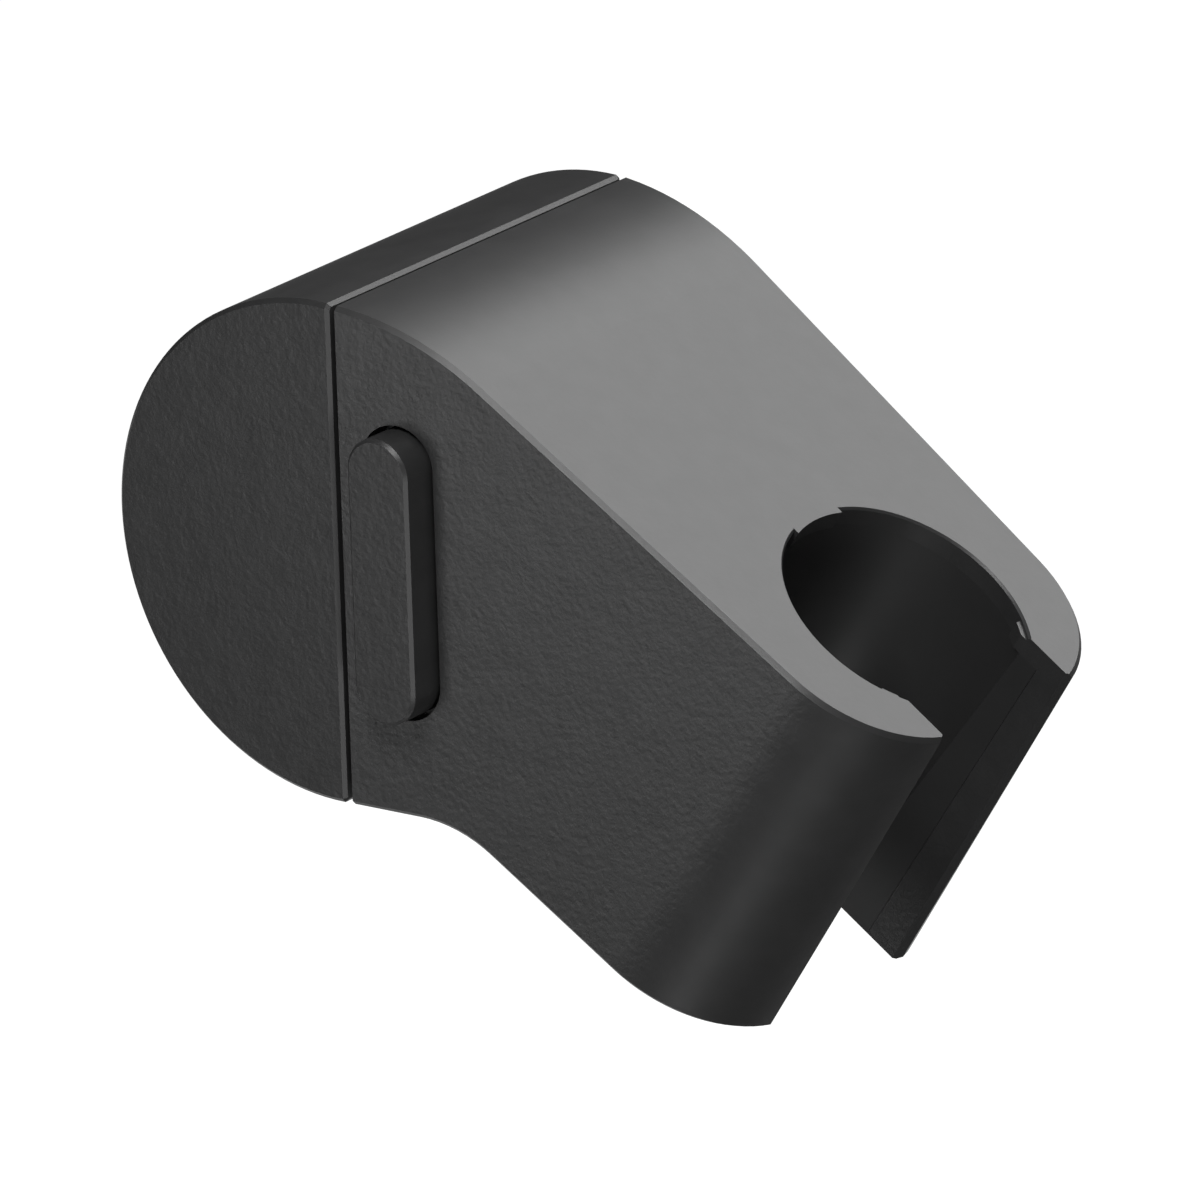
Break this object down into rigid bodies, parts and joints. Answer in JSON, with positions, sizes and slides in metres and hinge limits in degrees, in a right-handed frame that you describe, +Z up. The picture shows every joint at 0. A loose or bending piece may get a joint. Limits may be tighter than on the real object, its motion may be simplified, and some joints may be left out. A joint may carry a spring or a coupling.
{
  "type": "shower rail slider",
  "caption": "Sliding hand shower holder with a half-round back around a flat rail, a sloped front with a forked cone seat, and a side release button.",
  "frame": {"origin": "centre of the rail channel at the slider's mid height", "axes": "+Z up along the rail, -Y to the front where the cone seat is, X across the width with the button on the -X side"},
  "size_m": [0.0452, 0.0802, 0.0628],
  "materials": {
    "shell_black": "fine sand-grain matt black",
    "liner_black": "smooth matt black moulding",
    "acetal_grey": "natural slick moulding",
    "steel": "stainless wire and pin",
    "pad_rubber": "matt rubber"
  },
  "bodies": {
    "housing": {"front_body": "shell_black", "rear_shell": "shell_black", "cone_liner": "liner_black", "front_glide_upper": "acetal_grey", "front_glide_lower": "acetal_grey", "rear_glide": "acetal_grey", "left_glide": "acetal_grey", "right_glide": "acetal_grey", "housing_screws": "steel", "button_spring": "steel", "brake_spring_upper": "steel", "brake_spring_lower": "steel"},
    "release": {"release_button": "shell_black", "release_slide": "acetal_grey"},
    "shoe": {"brake_shoe": "acetal_grey", "brake_pad": "pad_rubber", "shoe_pin": "steel"}
  },
  "joints": [
    {"name": "button_press", "type": "slide", "parent": "housing", "child": "release", "axis": [1, 0, 0], "range_m": [0, 0.0025], "stiffness_N_per_m": 1500, "springref_m": -0.002, "deforming": ["button_spring"]},
    {"name": "shoe_release", "type": "slide", "parent": "housing", "child": "shoe", "axis": [0, -1, 0], "range_m": [0, 0.0015], "deforming": ["brake_spring_upper", "brake_spring_lower"]}
  ],
  "couplings": [
    {"joint": "shoe_release", "follows": "button_press", "ratio": 0.6}
  ]
}
